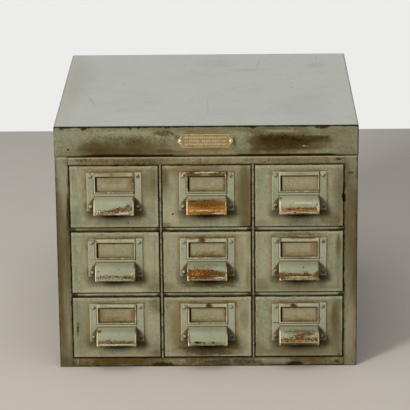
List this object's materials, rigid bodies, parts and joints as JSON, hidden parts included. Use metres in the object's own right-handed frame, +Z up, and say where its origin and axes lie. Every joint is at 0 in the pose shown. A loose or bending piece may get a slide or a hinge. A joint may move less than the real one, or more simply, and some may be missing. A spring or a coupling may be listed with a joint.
{
  "type": "index card drawer cabinet",
  "caption": "Desk-top steel cabinet for index cards, with small drawers under a deep cap, each with a card holder and a quarter-round finger hood.",
  "frame": {"origin": "centre of the base, on the surface it stands on; midway between the cap's front and back", "axes": "+Z up, +X to the right as seen from the front, drawers open towards -Y"},
  "size_m": [0.47, 0.5141, 0.3935],
  "materials": {
    "carcass_paint": "worn grey-green enamel, satin",
    "frame_paint": "grimy grey-green enamel, satin",
    "front_paint": "worn grey-green enamel, satin",
    "pull_paint": "grey-green enamel worn to brass at the edges",
    "rivet_metal": "dull",
    "inner_steel": "plain enamel, satin",
    "brass": "aged, satin",
    "screw_steel": "dull"
  },
  "bodies": {
    "cabinet": {"top_cap": "carcass_paint", "top_deck": "carcass_paint", "nameplate": "brass", "nameplate_pins": "brass", "left_side": "carcass_paint", "right_side": "carcass_paint", "back_panel": "carcass_paint", "bottom_panel": "carcass_paint", "top_rail": "frame_paint", "bottom_rail": "frame_paint", "partition_left": "frame_paint", "partition_right": "frame_paint", "cross_rails": "frame_paint", "runners": "inner_steel", "cap_screws": "screw_steel"},
    "drawer_r1c1": {"drawer_r1c1_front": "front_paint", "drawer_r1c1_tray": "inner_steel", "drawer_r1c1_card_frame": "pull_paint", "drawer_r1c1_hood": "pull_paint", "drawer_r1c1_rivets": "rivet_metal"},
    "drawer_r1c2": {"drawer_r1c2_front": "front_paint", "drawer_r1c2_tray": "inner_steel", "drawer_r1c2_card_frame": "pull_paint", "drawer_r1c2_hood": "pull_paint", "drawer_r1c2_rivets": "rivet_metal"},
    "drawer_r1c3": {"drawer_r1c3_front": "front_paint", "drawer_r1c3_tray": "inner_steel", "drawer_r1c3_card_frame": "pull_paint", "drawer_r1c3_hood": "pull_paint", "drawer_r1c3_rivets": "rivet_metal"},
    "drawer_r2c1": {"drawer_r2c1_front": "front_paint", "drawer_r2c1_tray": "inner_steel", "drawer_r2c1_card_frame": "pull_paint", "drawer_r2c1_hood": "pull_paint", "drawer_r2c1_rivets": "rivet_metal"},
    "drawer_r2c2": {"drawer_r2c2_front": "front_paint", "drawer_r2c2_tray": "inner_steel", "drawer_r2c2_card_frame": "pull_paint", "drawer_r2c2_hood": "pull_paint", "drawer_r2c2_rivets": "rivet_metal"},
    "drawer_r2c3": {"drawer_r2c3_front": "front_paint", "drawer_r2c3_tray": "inner_steel", "drawer_r2c3_card_frame": "pull_paint", "drawer_r2c3_hood": "pull_paint", "drawer_r2c3_rivets": "rivet_metal"},
    "drawer_r3c1": {"drawer_r3c1_front": "front_paint", "drawer_r3c1_tray": "inner_steel", "drawer_r3c1_card_frame": "pull_paint", "drawer_r3c1_hood": "pull_paint", "drawer_r3c1_rivets": "rivet_metal"},
    "drawer_r3c2": {"drawer_r3c2_front": "front_paint", "drawer_r3c2_tray": "inner_steel", "drawer_r3c2_card_frame": "pull_paint", "drawer_r3c2_hood": "pull_paint", "drawer_r3c2_rivets": "rivet_metal"},
    "drawer_r3c3": {"drawer_r3c3_front": "front_paint", "drawer_r3c3_tray": "inner_steel", "drawer_r3c3_card_frame": "pull_paint", "drawer_r3c3_hood": "pull_paint", "drawer_r3c3_rivets": "rivet_metal"}
  },
  "joints": [
    {"name": "drawer_r1c1_slide", "type": "slide", "parent": "cabinet", "child": "drawer_r1c1", "axis": [0, -1, 0], "range_m": [0, 0.38]},
    {"name": "drawer_r1c2_slide", "type": "slide", "parent": "cabinet", "child": "drawer_r1c2", "axis": [0, -1, 0], "range_m": [0, 0.38]},
    {"name": "drawer_r1c3_slide", "type": "slide", "parent": "cabinet", "child": "drawer_r1c3", "axis": [0, -1, 0], "range_m": [0, 0.38]},
    {"name": "drawer_r2c1_slide", "type": "slide", "parent": "cabinet", "child": "drawer_r2c1", "axis": [0, -1, 0], "range_m": [0, 0.38]},
    {"name": "drawer_r2c2_slide", "type": "slide", "parent": "cabinet", "child": "drawer_r2c2", "axis": [0, -1, 0], "range_m": [0, 0.38]},
    {"name": "drawer_r2c3_slide", "type": "slide", "parent": "cabinet", "child": "drawer_r2c3", "axis": [0, -1, 0], "range_m": [0, 0.38]},
    {"name": "drawer_r3c1_slide", "type": "slide", "parent": "cabinet", "child": "drawer_r3c1", "axis": [0, -1, 0], "range_m": [0, 0.38]},
    {"name": "drawer_r3c2_slide", "type": "slide", "parent": "cabinet", "child": "drawer_r3c2", "axis": [0, -1, 0], "range_m": [0, 0.38]},
    {"name": "drawer_r3c3_slide", "type": "slide", "parent": "cabinet", "child": "drawer_r3c3", "axis": [0, -1, 0], "range_m": [0, 0.38]}
  ]
}
